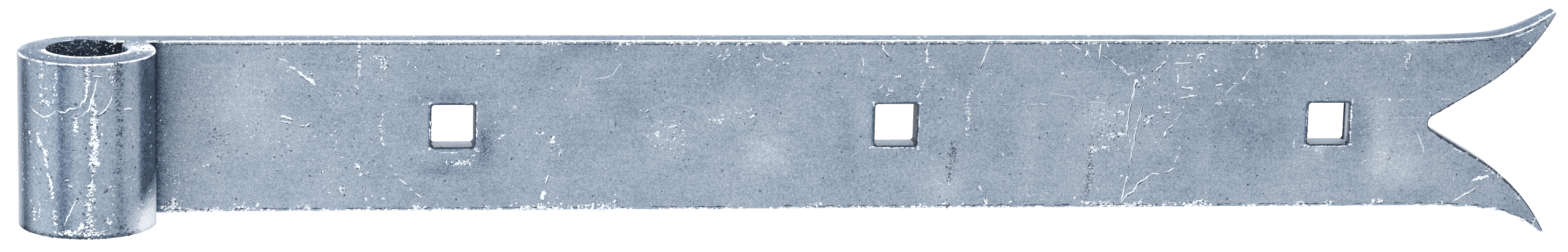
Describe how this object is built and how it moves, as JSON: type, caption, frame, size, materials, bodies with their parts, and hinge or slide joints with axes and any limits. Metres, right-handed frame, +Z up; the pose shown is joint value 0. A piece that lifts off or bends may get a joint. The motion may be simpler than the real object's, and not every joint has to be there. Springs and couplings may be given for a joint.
{
  "type": "hinge band",
  "caption": "Long flat strap for a gate hinge, rolled into an eye for a pin at one end, with square bolt holes and a pointed fishtail end.",
  "frame": {"origin": "on the axis of the rolled eye's bore, at half the bar's width", "axes": "+Z up the axis of the bore, +X along the bar to the fishtail, +Y from the show face to the back that lies on the gate"},
  "size_m": [0.4449, 0.0384, 0.0668],
  "materials": {
    "galvanised_steel": "hot-dip galvanised, dull blue-grey with scratches"
  },
  "bodies": {
    "root": {"band": "galvanised_steel"}
  },
  "joints": []
}
